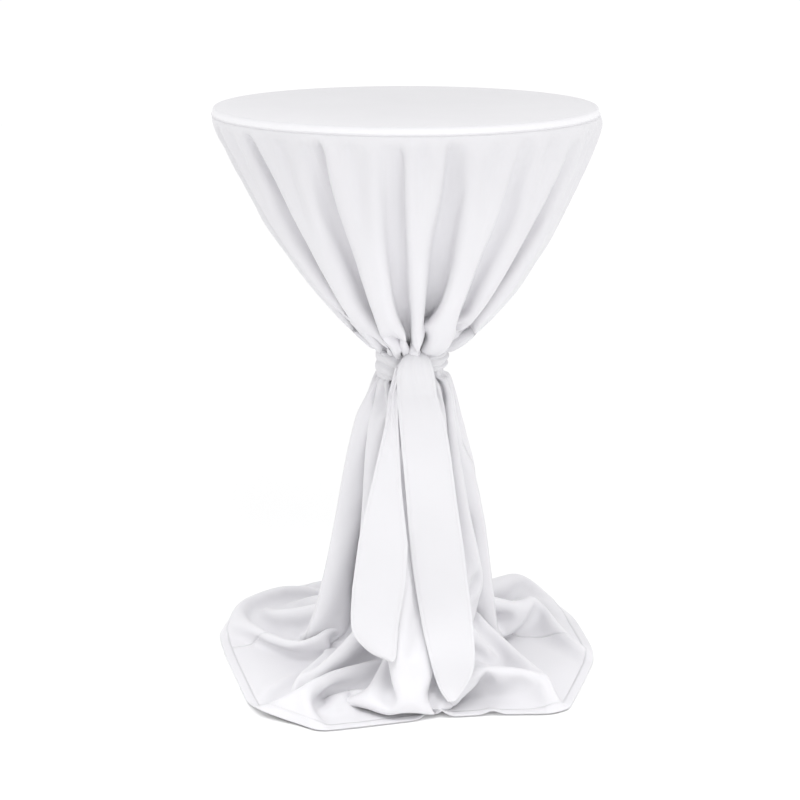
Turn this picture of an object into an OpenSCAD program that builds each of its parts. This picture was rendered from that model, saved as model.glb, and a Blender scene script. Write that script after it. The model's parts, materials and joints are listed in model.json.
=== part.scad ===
// Bar-height table under a floor-length cloth that a wide sash gathers at the waist.
// The round top stands on a tube column, clamped by a tie rod to a hub with four arms,
// and each arm ends in a screw-in levelling glide. The cloth is a round top panel with
// a corded seam, and a tube skirt of a front and a back panel that pools on the floor.
// Origin: on the floor under the column's axis. +Z up, the sash's knot towards -Y.

/* [Table] */
// Diameter of the table top
top_d = 700; // [660:10:720]
// Thickness of the table top
top_t = 25; // [22:1:30]
// Height of the table top's upper face
table_h = 1100; // [1060:10:1150]
// Outside diameter of the column
column_d = 60; // [54:1:62]
// Wall of the column's tube
column_wall = 2; // [1.5:0.5:3]

/* [Base] */
// Distance from the column's axis to an arm's tip
arm_reach = 270; // [255:5:280]
// Width of an arm
arm_w = 36; // [34:1:42]
// Height of an arm at the hub
arm_h = 46; // [42:1:48]
// Height of an arm at its tip
arm_tip_h = 22; // [20:1:24]
// Height of a levelling glide's pad
pad_h = 8; // [7:0.5:10]

/* [Cloth] */
// Thickness of the top panel
panel_t = 1.5; // [1:0.5:2]
// Thickness of the skirt with its small folds
skirt_t = 3; // [3:0.5:4]
// Radius to the outside edge of the hem on the floor
hem_r = 362; // [356:1:366]
// Height of the waist's middle above the floor
waist_z = 615; // [605:5:625]
// Radius of the gathered cloth at the waist
waist_r = 62; // [60:1:64]
// How far the gathers reach in from the waist's surface
gather_t = 24; // [18:1:25]

/* [Sash] */
// Height of the sash's wrap around the waist
sash_h = 60; // [54:2:64]
// Thickness of the sash's wrap
sash_t = 7; // [6:1:8]
// Thickness of a sash tail, which is two layers of cloth
tail_t = 5; // [4:0.5:6]
// Width of a sash tail
tail_w = 96; // [90:1:100]

/* [Hidden] */
$fn = 96;
// How far a cutter reaches past the face that it cuts
over = 1;
// Half the size of a block that cuts the whole model
far = 500;

// Table top
top_r = top_d / 2;
band_t = 2;
edge_chamfer = 1.5;
edge_drop = 2.5;
cloth_gap = 0.2;
board_bottom = table_h - top_t;
plate_r = 130;
plate_t = 4;
plate_z = board_bottom - plate_t;
screw_count = 8;
screw_circle_r = 110;
screw_r = 2.25;
screw_head_r = 4.5;
screw_head_h = 3;
screw_depth = 16;
pilot_gap = 0.05;
screw_hole_gap = 0.3;
screw_end_gap = 0.5;

// Column and tie rod
column_r = column_d / 2;
bore_r = column_r - column_wall;
spigot_r = bore_r - 0.3;
spigot_h = 14;
spigot_root = 1;
rod_r = 6;
rod_hole_r = rod_r + 0.5;
nut_r = 11;
nut_h = 9;
washer_r = 14;
washer_t = 2;
nut_gap = 0.05;
rod_counterbore_r = rod_hole_r + 1.5;
rod_bottom = pad_h + 1.5;
rod_top = board_bottom + nut_h - 2;

// Base
hub_plate_r = 98;
hub_plate_t = 8;
hub_boss_r = 42;
hub_top = pad_h + arm_h + 4;
bolt_gap = 0.3;
rod_pocket_r = 18;
rod_pocket_h = 14;
collar_h = 16;
collar_gap = 0.3;
arm_angles = [225, 315, 135, 45];
arm_inner_r = hub_boss_r + 0.3;
arm_bolt_radii = [58, 84];
arm_bolt_r = 4;
arm_bolt_head_r = 7;
arm_bolt_head_h = 4.5;
arm_bolt_grip = 18;
notch_gap = 0.5;
glide_r = arm_reach - 22;
pad_r = 16;
stud_r = 4;
stud_h = 20;
stud_end_gap = 0.5;
thread_gap = 0.05;
pad_gap = 0.3;

// Cloth: where the top panel ends, and where the skirt hangs from it
panel_r = top_r + panel_t;
seam_z = table_h - 12;
cord_r = 1.3;
cord_gap = 0.1;
skirt_top_z = seam_z - 2 * cord_r + 1;
rim_r = top_r + skirt_t + 1.5;
hem_w = 14;
hem_t = 4;
flange_t = 3;
flange_r = hem_r - hem_w;
foot_r = 174;
foot_z = 70;
tunnel_gap = 4;

// Sash: the wrap ends at sash_r, and the tails hang from just under the knot
wrap_gap = 1;
sash_r = waist_r + wrap_gap + sash_t;
knot_gap = 0.4;
knot_ball_r = 16;
knot_bottom = waist_z - sash_h / 2 + 4;
knot_top = waist_z + sash_h / 2 + 6;
tail_top = knot_bottom - 12;
tail_lift = 3;

// ---------- helpers ----------

// A point on the Catmull-Rom curve from b to c, at share t
function blend_point(a, b, c, d, t) =
    0.5 * ((2 * b) + (c - a) * t + (2 * a - 5 * b + 4 * c - d) * t * t
    + (3 * b - a - 3 * c + d) * t * t * t);

// A smooth line through the points, with n steps between each two
function smooth_line(p, n) = concat(
    [for (i = [0 : len(p) - 2], k = [0 : n - 1])
        blend_point(p[max(i - 1, 0)], p[i], p[i + 1], p[min(i + 2, len(p) - 1)], k / n)],
    [p[len(p) - 1]]);

module at_arm(angle) {
    rotate([0, 0, angle]) children();
}

module ring(outer, inner, height) {
    difference() {
        cylinder(r = outer, h = height);
        translate([0, 0, -over]) cylinder(r = inner, h = height + 2 * over);
    }
}

// Keeps the part of its children between two heights, on one side: -1 front, 1 back
module part_of(side, low, high) {
    intersection() {
        children();
        translate([-far, side > 0 ? 0 : -far, low]) cube([2 * far, far, high - low]);
    }
}

// ---------- table ----------

module table_top_board() {
    color("burlywood") difference() {
        translate([0, 0, board_bottom]) cylinder(r = top_r - band_t, h = top_t);
        translate([0, 0, board_bottom - over]) cylinder(r = rod_counterbore_r, h = over + nut_h);
        for (i = [0 : screw_count - 1])
            rotate([0, 0, (i + 0.5) * 360 / screw_count])
                translate([screw_circle_r, 0, board_bottom - over])
                    cylinder(r = screw_r + pilot_gap, h = over + screw_depth + screw_end_gap);
    }
}

module table_edge_band() {
    inner = top_r - band_t;
    color("dimgray") rotate_extrude($fn = 180) polygon([
        [inner, board_bottom], [top_r - edge_chamfer, board_bottom], [top_r, board_bottom + edge_drop],
        [top_r, table_h - edge_drop], [top_r - edge_chamfer, table_h], [inner, table_h]
    ]);
}

module top_plate() {
    color("dimgray") difference() {
        union() {
            translate([0, 0, plate_z]) cylinder(r = plate_r, h = plate_t);
            translate([0, 0, plate_z - spigot_h]) cylinder(r = spigot_r, h = spigot_h + spigot_root);
        }
        translate([0, 0, plate_z - spigot_h - over])
            cylinder(r = rod_hole_r, h = spigot_h + plate_t + 2 * over);
        for (i = [0 : screw_count - 1])
            rotate([0, 0, (i + 0.5) * 360 / screw_count])
                translate([screw_circle_r, 0, plate_z - over])
                    cylinder(r = screw_r + screw_hole_gap, h = plate_t + 2 * over);
    }
}

module top_plate_screws() {
    color("silver") for (i = [0 : screw_count - 1])
        rotate([0, 0, (i + 0.5) * 360 / screw_count])
            translate([screw_circle_r, 0, plate_z - screw_head_h]) {
                cylinder(r = screw_head_r, h = screw_head_h, $fn = 48);
                cylinder(r = screw_r, h = screw_head_h + plate_t + screw_depth, $fn = 48);
            }
}

module column_tube() {
    color("dimgray") translate([0, 0, hub_top])
        ring(column_r, bore_r, plate_z - hub_top);
}

// The rod pulls the top plate and the hub together through the column
module tie_rod() {
    color("silver") translate([0, 0, rod_bottom]) cylinder(r = rod_r, h = rod_top - rod_bottom);
}

module tie_rod_nuts() {
    color("silver") for (z = [pad_h + rod_pocket_h - washer_t - nut_h, plate_z - spigot_h - washer_t - nut_h])
        translate([0, 0, z]) difference() {
            cylinder(r = nut_r, h = nut_h, $fn = 6);
            translate([0, 0, -over]) cylinder(r = rod_r + nut_gap, h = nut_h + 2 * over);
        }
}

module tie_rod_washers() {
    color("silver") for (z = [pad_h + rod_pocket_h - washer_t, plate_z - spigot_h - washer_t])
        translate([0, 0, z]) ring(washer_r, rod_hole_r, washer_t);
}

// ---------- base ----------

module base_hub() {
    color("#2b2b2d") difference() {
        union() {
            translate([0, 0, pad_h]) cylinder(r = hub_plate_r, h = hub_plate_t);
            translate([0, 0, pad_h]) cylinder(r = hub_boss_r, h = hub_top - pad_h);
            translate([0, 0, hub_top - spigot_root]) cylinder(r = spigot_r, h = spigot_h + spigot_root);
        }
        translate([0, 0, pad_h - over]) cylinder(r = rod_pocket_r, h = rod_pocket_h + over);
        cylinder(r = rod_hole_r, h = hub_top + spigot_h + over);
        for (angle = arm_angles, r = arm_bolt_radii)
            at_arm(angle) translate([r, 0, pad_h - over])
                cylinder(r = arm_bolt_r + bolt_gap, h = hub_plate_t + 2 * over);
    }
}

module hub_collar() {
    color("#1f1f21") rotate_extrude() polygon([
        [column_r + collar_gap, hub_top], [hub_boss_r, hub_top],
        [hub_boss_r - 1, hub_top + 5], [column_r + 4, hub_top + collar_h - 2],
        [column_r + 2, hub_top + collar_h], [column_r + collar_gap, hub_top + collar_h]
    ]);
}

// The arm's side view, from the hub to the tip, with the notch that sits on the hub's plate
module arm_side() {
    notch = hub_plate_r + notch_gap;
    nose = arm_w / 2;
    polygon([
        [arm_inner_r, pad_h + hub_plate_t], [notch, pad_h + hub_plate_t], [notch, pad_h],
        [arm_reach, pad_h], [arm_reach, pad_h + arm_tip_h - 6],
        [arm_reach - nose / 2, pad_h + arm_tip_h], [hub_plate_r + 20, pad_h + arm_h - 8],
        [arm_inner_r, pad_h + arm_h]
    ]);
}

// The arm from above, which narrows a little and ends round
module arm_plan() {
    tip = arm_w / 2 - 2;
    polygon([[0, -arm_w / 2], [arm_reach - tip, -tip], [arm_reach - tip, tip], [0, arm_w / 2]]);
    translate([arm_reach - tip, 0]) circle(r = tip);
}

module base_arm(angle) {
    color("#2b2b2d") at_arm(angle) difference() {
        intersection() {
            linear_extrude(height = pad_h + arm_h + over) arm_plan();
            translate([0, arm_w / 2 + over, 0]) rotate([90, 0, 0])
                linear_extrude(height = arm_w + 2 * over) arm_side();
        }
        cylinder(r = arm_inner_r, h = pad_h + arm_h + 2 * over);
        translate([glide_r, 0, pad_h - over])
            cylinder(r = stud_r + thread_gap, h = over + stud_h + stud_end_gap);
        for (r = arm_bolt_radii)
            translate([r, 0, 0])
                cylinder(r = arm_bolt_r + thread_gap, h = pad_h + hub_plate_t + arm_bolt_grip + over);
    }
}

module arm_bolts() {
    color("silver") for (angle = arm_angles, r = arm_bolt_radii)
        at_arm(angle) translate([r, 0, pad_h - arm_bolt_head_h]) {
            cylinder(r = arm_bolt_head_r, h = arm_bolt_head_h, $fn = 6);
            cylinder(r = arm_bolt_r, h = arm_bolt_head_h + hub_plate_t + arm_bolt_grip, $fn = 48);
        }
}

// A moulded pad on a threaded stud, screwed fully in
module glide(angle) {
    color("#161616") at_arm(angle) translate([glide_r, 0, 0]) {
        rotate_extrude($fn = 64) polygon([
            [0, 0], [pad_r - 1, 0], [pad_r, 1], [pad_r, 3],
            [pad_r - 4, pad_h - pad_gap], [0, pad_h - pad_gap]
        ]);
        cylinder(r = stud_r, h = pad_h - pad_gap + stud_h, $fn = 64);
    }
}

// ---------- cloth ----------

// The round panel lies on the board and turns down over its edge to the seam
module cloth_top_panel() {
    inner = top_r + cloth_gap;
    color("white") rotate_extrude($fn = 180) polygon([
        [0, table_h], [inner - edge_chamfer, table_h], [inner, table_h - edge_drop], [inner, seam_z],
        [panel_r, seam_z], [panel_r, table_h - edge_drop], [panel_r - edge_chamfer, table_h + 0.6],
        [panel_r - 4 * edge_chamfer, table_h + panel_t], [0, table_h + panel_t]
    ]);
}

module rim_cord() {
    color("white") rotate_extrude($fn = 180)
        translate([panel_r + cord_r + cord_gap, seam_z]) circle(r = cord_r, $fn = 24);
}

// Radius of the cloth's surface between the waist and the rim, where t goes from 0 to 1
function bell_r(t) = waist_r + 4 + (rim_r - waist_r - 4) * sin(90 * t);

// Outside line of the skirt from the rim down to the floor, as [radius, height]
bell_bottom = waist_z + sash_h / 2;
cone_top = waist_z - sash_h / 2;
skirt_line = concat(
    [for (k = [12 : -1 : 0]) [bell_r(k / 12), bell_bottom + (skirt_top_z - bell_bottom) * k / 12]],
    smooth_line([
        [waist_r, bell_bottom - 8], [waist_r, cone_top + 4], [waist_r + 14, cone_top - 15],
        [waist_r + 30, cone_top - 60], [waist_r + 44, cone_top - 150], [waist_r + 66, cone_top - 280],
        [waist_r + 82, cone_top - 390], [waist_r + 92, foot_z], [foot_r, 0]
    ], 3));

// The inside of the same line: skirt_t in, and gather_t further in at the waist
function inner_r(p) =
    p[0] - skirt_t - gather_t * exp(-pow((p[1] - waist_z) / (sash_h * 0.62), 4));

module skirt_outside() {
    rotate_extrude($fn = 120) polygon(concat(skirt_line, [[0, 0], [0, skirt_top_z]]));
    cylinder(r = flange_r, h = flange_t, $fn = 180);
}

module skirt_inside() {
    first = skirt_line[0];
    inner = concat([[inner_r(first), first[1] + 1]], [for (p = skirt_line) [inner_r(p), p[1]]]);
    last = inner[len(inner) - 1];
    rotate_extrude($fn = 120)
        polygon(concat(inner, [[last[0], -1], [0, -1], [0, skirt_top_z + 1]]));
}

// The space over an arm, grown by gap on each side
module arm_tunnel(gap) {
    tip = arm_w / 2 + gap;
    top_at_hub = pad_h + arm_h + gap;
    top_at_tip = pad_h + arm_tip_h + gap;
    intersection() {
        translate([0, 0, -1]) linear_extrude(height = top_at_hub + 2) {
            translate([0, -tip]) square([arm_reach + gap - tip, 2 * tip]);
            translate([arm_reach + gap - tip, 0]) circle(r = tip);
        }
        translate([0, tip + 1, 0]) rotate([90, 0, 0]) linear_extrude(height = 2 * tip + 2) polygon([
            [0, -1], [arm_reach + gap, -1], [arm_reach + gap, top_at_tip - 4],
            [arm_reach - 8, top_at_tip + 1], [hub_plate_r + 20, top_at_hub - 5], [0, top_at_hub]
        ]);
    }
}

// The whole skirt: a bell, a waist and a cone that lies out on the floor over the arms
module skirt() {
    difference() {
        union() {
            skirt_outside();
            for (angle = arm_angles) at_arm(angle) intersection() {
                arm_tunnel(tunnel_gap + skirt_t);
                cylinder(r = flange_r, h = table_h);
            }
        }
        skirt_inside();
        for (angle = arm_angles) at_arm(angle) arm_tunnel(tunnel_gap);
        translate([0, 0, -10]) cylinder(r = hem_r, h = 10);
    }
}

// Each panel of the skirt is one length of cloth, in three lengths from rim to floor
module skirt_upper(side) {
    color("white") part_of(side, bell_bottom, table_h) skirt();
}

module skirt_lower(side) {
    color("white") part_of(side, foot_z, bell_bottom) skirt();
}

module skirt_pool(side) {
    color("white") part_of(side, -1, foot_z) skirt();
}

module skirt_hem() {
    color("white") ring(hem_r, flange_r, hem_t, $fn = 180);
}

// ---------- sash ----------

module sash_wrap() {
    low = waist_z - sash_h / 2;
    high = waist_z + sash_h / 2;
    inner = waist_r + wrap_gap;
    color("white") rotate_extrude() polygon([
        [inner, low + 10], [inner + 2, low + 4], [sash_r - 1, low + 1], [sash_r, low + 8],
        [sash_r, high - 8], [sash_r - 1, high - 1], [inner + 2, high - 2], [inner, high - 8]
    ]);
}

module sash_knot() {
    color("white") difference() {
        hull() for (x = [-4, 34], z = [knot_bottom + knot_ball_r, knot_top - knot_ball_r - 4])
            translate([x, -sash_r - 4, z]) sphere(r = knot_ball_r, $fn = 32);
        cylinder(r = sash_r + knot_gap, h = table_h);
        translate([-far, -far, 0]) cube([2 * far, 2 * far, knot_bottom]);
    }
}

// Side view of a tail, as [y, z]: it hangs just clear of the cone and lies out on the floor
function tail_line(end_y) = smooth_line([
    [-waist_r - 17, tail_top], [-waist_r - 32, cone_top - 60], [-waist_r - 46, cone_top - 150],
    [-waist_r - 68, cone_top - 280], [-waist_r - 84, cone_top - 390], [-waist_r - 94, foot_z],
    [-foot_r - 8, flange_t + 10], [end_y, flange_t + 2]
], 3);

module tail_side(end_y) {
    near = tail_line(end_y);
    back = [for (i = [0 : len(near) - 1]) near[i] - [tail_lift, 0]];
    front = [for (i = [len(near) - 1 : -1 : 0])
        back[i] - [tail_t * (near[i][1] < foot_z / 2 ? 0.4 : 1), 0]
        + [0, near[i][1] < foot_z / 2 ? tail_t : 0]];
    polygon(concat(back, front));
}

// A tail is its side view, cut to its outline as seen from the front
module sash_tail(outline, end_y) {
    color("white") intersection() {
        translate([-far, 0, 0]) rotate([90, 0, 90]) linear_extrude(height = 2 * far) tail_side(end_y);
        rotate([90, 0, 0]) linear_extrude(height = far) polygon(smooth_line(outline, 3));
    }
}

module sash_tail_left() {
    w = tail_w;
    sash_tail([
        [-38, tail_top + 1], [-44, 520], [-50, 475], [-63, 396], [-84, 306], [-w, 243], [-w - 8, 176],
        [-w - 8, 134], [-w - 1, 111], [-77, 87], [-54, 67], [-35, 60], [-16, 59], [-18, 110],
        [-14, 145], [-7, 195], [2, 250], [6, 300], [5, 325], [-2, 385], [-10, 450], [-14, 500],
        [-18, tail_top + 1]
    ], -foot_r + 4);
}

module sash_tail_right() {
    w = tail_w;
    sash_tail([
        [-14, tail_top + 1], [-11, 500], [-6, 440], [3, 371], [10, 319], [18, 249], [28, 186],
        [39, 124], [49, 69], [58, 33], [66, 12], [78, 3], [w, 3], [w + 14, 12], [w + 28, 34],
        [w + 36, 70], [w + 36, 100], [w + 30, 176], [w + 20, 224], [w + 8, 291], [w - 2, 348],
        [84, 415], [78, 471], [66, 531], [60, tail_top + 1]
    ], -foot_r - 38);
}

table_top_board();
table_edge_band();
top_plate();
top_plate_screws();
column_tube();
tie_rod();
tie_rod_nuts();
tie_rod_washers();
base_hub();
hub_collar();
base_arm(arm_angles[0]);  // base_arm_front_left
base_arm(arm_angles[1]);  // base_arm_front_right
base_arm(arm_angles[2]);  // base_arm_back_left
base_arm(arm_angles[3]);  // base_arm_back_right
arm_bolts();
glide(arm_angles[0]);  // glide_front_left
glide(arm_angles[1]);  // glide_front_right
glide(arm_angles[2]);  // glide_back_left
glide(arm_angles[3]);  // glide_back_right
cloth_top_panel();
rim_cord();
skirt_upper(-1);  // skirt_front_upper
skirt_lower(-1);  // skirt_front_lower
skirt_pool(-1);  // skirt_front_pool
skirt_upper(1);  // skirt_back_upper
skirt_lower(1);  // skirt_back_lower
skirt_pool(1);  // skirt_back_pool
skirt_hem();
sash_wrap();
sash_knot();
sash_tail_left();
sash_tail_right();
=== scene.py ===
"""A white cloth over a bar-height table, gathered at the waist by a tied sash.

Metres, +Z up, the knot towards -Y. The skirt starts as cloth that is folded by rule from the rim to
the waist and on to the hem, and then falls, rests and rubs in a cloth solver. Its folds are then
sharpened, and creases are pressed into it, by rule. The sash is shaped by rule.
"""
import json
import math

import bmesh
import bpy
import numpy as np
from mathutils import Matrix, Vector


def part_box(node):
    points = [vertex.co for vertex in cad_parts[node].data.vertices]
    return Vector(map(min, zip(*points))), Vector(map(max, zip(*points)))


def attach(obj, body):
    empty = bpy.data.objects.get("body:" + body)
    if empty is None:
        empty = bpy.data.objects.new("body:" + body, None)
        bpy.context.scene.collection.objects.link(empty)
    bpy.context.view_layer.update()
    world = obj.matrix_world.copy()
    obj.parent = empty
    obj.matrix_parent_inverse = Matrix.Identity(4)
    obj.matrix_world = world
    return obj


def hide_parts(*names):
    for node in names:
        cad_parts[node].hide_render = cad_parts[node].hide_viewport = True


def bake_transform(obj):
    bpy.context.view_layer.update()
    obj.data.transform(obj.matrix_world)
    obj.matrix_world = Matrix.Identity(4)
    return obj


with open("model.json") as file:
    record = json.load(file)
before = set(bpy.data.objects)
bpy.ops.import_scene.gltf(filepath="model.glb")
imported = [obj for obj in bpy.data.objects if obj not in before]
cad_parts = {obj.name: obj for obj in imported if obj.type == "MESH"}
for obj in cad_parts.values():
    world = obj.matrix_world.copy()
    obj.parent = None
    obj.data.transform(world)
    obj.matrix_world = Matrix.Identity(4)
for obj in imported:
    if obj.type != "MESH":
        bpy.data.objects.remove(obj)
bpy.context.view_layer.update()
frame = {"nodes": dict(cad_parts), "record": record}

TAU = 2 * math.pi
ROOT = "table_and_cloth"
LEFT_TAIL, RIGHT_TAIL = "sash_tail_left", "sash_tail_right"

# ---------- places from the frame ----------
panel_low, panel_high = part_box("cloth_top_panel")
wrap_low, wrap_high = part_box("sash_wrap")
knot_low, knot_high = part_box("sash_knot")
PANEL_R, TOP_Z, SEAM_Z = panel_high.x, panel_high.z, panel_low.z
RIM_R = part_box("skirt_front_upper")[1].x - 0.001
RIM_Z = SEAM_Z - 0.0006
WRAP_R = wrap_high.x
WAIST_R = WRAP_R - 0.008
WAIST_X = 0.012                      # the waist sits a little to the right of the column
WAIST_TOP, WAIST_LOW = wrap_high.z - 0.007, wrap_low.z + 0.005
HEM_Z = 0.004
COLUMN_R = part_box("column_tube")[1].x
COLLAR_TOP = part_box("hub_collar")[1].z
HUB_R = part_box("base_hub")[1].x
ARM_REACH, ARM_HALF_W = 0.270, 0.018
ARM_TOP = ([0, 0.118, 0.262, 0.272], [0.054, 0.046, 0.030, 0.026])   # distances along an arm, heights

# ---------- the skirt's cut ----------
CLOTH_AROUND = 2.30                  # round the tube: the rim and a little ease
ROW_GAP = 0.0118                     # between two rows of points
COLUMNS = 200
COLUMN_GAP = CLOTH_AROUND / COLUMNS
POOL_LEN = 0.328                     # the length that lies on the floor
POOL_R, POOL_Z = 0.168, 0.095        # where the cone ends and the pool starts

# Half widths and heights of the skirt, from the rim to the waist and from the waist to the pool
BELL_LINE = [(RIM_R, RIM_Z), (0.3545, 1.06), (0.346, 1.02), (0.308, 0.943), (0.24, 0.83), (0.153, 0.714),
             (0.098, 0.667), (WAIST_R, WAIST_TOP)]
CONE_LINE = [(WAIST_R, WAIST_LOW), (0.076, 0.568), (0.090, 0.53), (0.103, 0.465), (0.119, 0.38),
             (0.128, 0.30), (0.146, 0.20), (POOL_R, POOL_Z)]

# Main folds: (degrees from straight ahead, and the depth in the bell, at the rim and in the cone, each
# relative to the other folds there)
MAIN_FOLDS = [
    (-164, 0.8, 0.2, 0.5), (-139, 1.1, 0.2, 1.3), (-113, 0.9, 0.2, 0.6), (-88, 0.9, 0.2, 0.9),
    (-70, 0.4, 0.1, 1.2), (-50, 1.3, 2.4, 0.5), (-24, 1.6, 3.8, 1.3), (-2, 1.2, 3.2, 0.6),
    (12.5, 0.6, 1.6, 0.8), (36, 0.4, 0.3, 1.3), (53, 0.7, 1.3, 0.5), (79, 0.9, 0.2, 1.2),
    (103, 0.9, 0.1, 0.6), (127, 1.1, 0.2, 1.3), (150, 0.9, 0.2, 0.4), (172, 1.1, 0.2, 1.2)]

# The hem's outline on the floor: (degrees from straight ahead, radius)
HEM_LINE = [
    (-180, 0.335), (-150, 0.355), (-128, 0.385), (-110, 0.392), (-90, 0.362), (-68, 0.350), (-50, 0.368),
    (-36, 0.380), (-21, 0.332), (-2, 0.304), (17, 0.288), (36, 0.304), (52, 0.362), (62, 0.388), (76, 0.374),
    (97, 0.364), (118, 0.378), (135, 0.380), (155, 0.350)]


# ---------- small helpers ----------

def smoothstep(low, high, x):
    t = np.clip((np.asarray(x, float) - low) / (high - low), 0, 1)
    return t * t * (3 - 2 * t)


def smooth_line(points, steps=20):
    """A Catmull-Rom line through the points, and the distance travelled along it."""
    p = np.array(points, float)
    line = []
    for i in range(len(p) - 1):
        a, b, c, d = p[max(i - 1, 0)], p[i], p[i + 1], p[min(i + 2, len(p) - 1)]
        for t in np.linspace(0, 1, steps, endpoint=False):
            line.append(0.5 * (2 * b + (c - a) * t + (2 * a - 5 * b + 4 * c - d) * t**2
                               + (3 * b - a - 3 * c + d) * t**3))
    line = np.array(line + [p[-1]])
    return line, travelled(line)


def travelled(line):
    """The distance travelled along a line, at each of its points."""
    return np.concatenate([[0], np.cumsum(np.linalg.norm(np.diff(line, axis=0), axis=1))])


def between(rise_from, rise_to, fall_from, fall_to, x):
    """1 from rise_to to fall_from, 0 outside, with soft sides."""
    return smoothstep(rise_from, rise_to, x) * (1 - smoothstep(fall_from, fall_to, x))


def hill(x, width):
    """1 at 0, and softly down to 0 on both sides."""
    return np.exp(-(x / width) ** 2)


def unit(vectors):
    """The same directions at length 1."""
    return vectors / np.maximum(np.linalg.norm(vectors, axis=-1, keepdims=True), 1e-9)


def softened(line, rounds):
    """A line whose points, except for its ends, are averaged with their neighbours."""
    line = line.copy()
    for _ in range(rounds):
        line[1:-1] = (line[:-2] + 2 * line[1:-1] + line[2:]) / 4
    return line


def points_around(radius, angle, height, aside=0.0):
    """Points at a radius, at an angle from straight ahead and at a height, moved aside along x."""
    return np.stack(np.broadcast_arrays(radius * np.sin(angle) + aside, -radius * np.cos(angle), height), -1)


def grid_uv(across, down):
    """The UV of a grid, in metres of cloth."""
    return np.stack(np.broadcast_arrays(across, down), -1)


def at_length(line, length, s):
    """Points of a line at the lengths s."""
    return np.stack([np.interp(s, length, line[:, k]) for k in range(line.shape[1])], -1)


def wave_noise(x, y, seed, waves=14, scale=1.0):
    """A smooth random surface from -1 to 1, as a sum of waves in all directions."""
    draw = np.random.default_rng(seed)
    total = 0
    for _ in range(waves):
        angle, size, phase = draw.uniform(0, TAU), draw.uniform(0.5, 1.6) * scale, draw.uniform(0, TAU)
        total = total + np.sin((x * math.cos(angle) + y * math.sin(angle)) * size + phase)
    return total / math.sqrt(waves)


def link(obj):
    bpy.context.scene.collection.objects.link(obj)
    return obj


def mesh_object(name, points, faces):
    """A smooth object in the scene, from its points and faces."""
    mesh = bpy.data.meshes.new(name)
    mesh.from_pydata(np.reshape(points, (-1, 3)).tolist(), [], faces)
    mesh.shade_smooth()
    return link(bpy.data.objects.new(name, mesh))


def grid_mesh(name, points, uv, closed_columns=False, closed_rows=False):
    """A mesh from a grid of points, rows x columns x 3, with UV in metres of cloth."""
    rows, columns = points.shape[:2]
    index = np.arange(rows * columns).reshape(rows, columns)
    down = np.roll(index, -1, 0) if closed_rows else index[1:]
    here = index if closed_rows else index[:-1]
    if not closed_columns:
        quads = np.stack([here[:, :-1], down[:, :-1], down[:, 1:], here[:, 1:]], -1)
    else:
        quads = np.stack([here, down, np.roll(down, -1, 1), np.roll(here, -1, 1)], -1)
    quads = quads.reshape(-1, 4)
    made = mesh_object(name, points, quads.tolist())
    flat = uv.reshape(-1, 2)[quads]
    # a quad that crosses the join goes on past the last column or row
    for axis, closed in ((0, closed_columns), (1, closed_rows)):
        if closed:
            values = flat[..., axis]
            span = uv[..., axis].max() - uv[..., axis].min()
            jump = values.max(1, keepdims=True) - values > 0.5 * span
            flat[..., axis] = values + jump * span * (1 + 1 / (columns if axis == 0 else rows))
    layer = made.data.uv_layers.new(name="cloth")
    layer.data.foreach_set("uv", flat.astype(np.float32).ravel())
    made.data.update()
    return made


def close_ring(mesh, ring):
    """Fills an open ring of points with one face, with the UV of the faces beside it."""
    b = bmesh.new()
    b.from_mesh(mesh)
    b.verts.ensure_lookup_table()
    uv = b.loops.layers.uv.active
    face = b.faces.new([b.verts[i] for i in ring])
    face.smooth = True
    for corner in face.loops:
        beside = next(other for other in corner.vert.link_loops if other.face is not face)
        corner[uv].uv = beside[uv].uv
    b.to_mesh(mesh)
    b.free()


def thicken(obj, thickness):
    """Gives a sheet its thickness, behind the face that it has."""
    solid = obj.modifiers.new("thickness", "SOLIDIFY")
    solid.thickness = thickness
    solid.offset = -1
    solid.use_even_offset = False
    return obj


def finer(points, closed):
    """One round of cubic B-spline subdivision of a grid, down its rows and along its columns."""
    def halve(p, wrap):
        if wrap:
            before, after = np.roll(p, 1, 0), np.roll(p, -1, 0)
            kept, between = (before + 6 * p + after) / 8, (p + after) / 2
            return np.stack([kept, between], 1).reshape(-1, *p.shape[1:])
        kept = p.copy()
        kept[1:-1] = (p[:-2] + 6 * p[1:-1] + p[2:]) / 8
        out = np.zeros((2 * len(p) - 1, *p.shape[1:]))
        out[::2], out[1::2] = kept, (p[:-1] + p[1:]) / 2
        return out
    return halve(halve(points, False).swapaxes(0, 1), closed).swapaxes(0, 1)


def normals_of(points, closed):
    """Unit normals of a grid of points."""
    down = np.gradient(points, axis=0)
    if closed:
        along = np.roll(points, -1, 1) - np.roll(points, 1, 1)
    else:
        along = np.gradient(points, axis=1)
    return -unit(np.cross(along, down))


# ---------- materials ----------

def node(tree, kind, inputs=None, **settings):
    """Adds a shader node, sets its settings, and sets or links its inputs."""
    made = tree.nodes.new(kind)
    for key, value in settings.items():
        setattr(made, key, value)
    for key, value in (inputs or {}).items():
        if isinstance(value, bpy.types.NodeSocket):
            tree.links.new(value, made.inputs[key])
        else:
            made.inputs[key].default_value = value
    return made


def new_material(name, colour, roughness, sockets=None):
    material = bpy.data.materials.new(name)
    material.use_nodes = True
    shader = material.node_tree.nodes["Principled BSDF"]
    shader.inputs["Base Color"].default_value = (*colour, 1)
    shader.inputs["Roughness"].default_value = roughness
    for key, value in (sockets or {}).items():
        shader.inputs[key].default_value = value
    material.diffuse_color = (*colour, 1)
    return material, material.node_tree, shader


def noise(tree, place, scale, detail=4.0, roughness=0.5):
    return node(tree, "ShaderNodeTexNoise", {"Vector": place, "Scale": scale, "Detail": detail,
                                             "Roughness": roughness}).outputs["Fac"]


def stretched(tree, place, factors):
    return node(tree, "ShaderNodeMapping", {"Vector": place, "Scale": factors}).outputs["Vector"]


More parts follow.
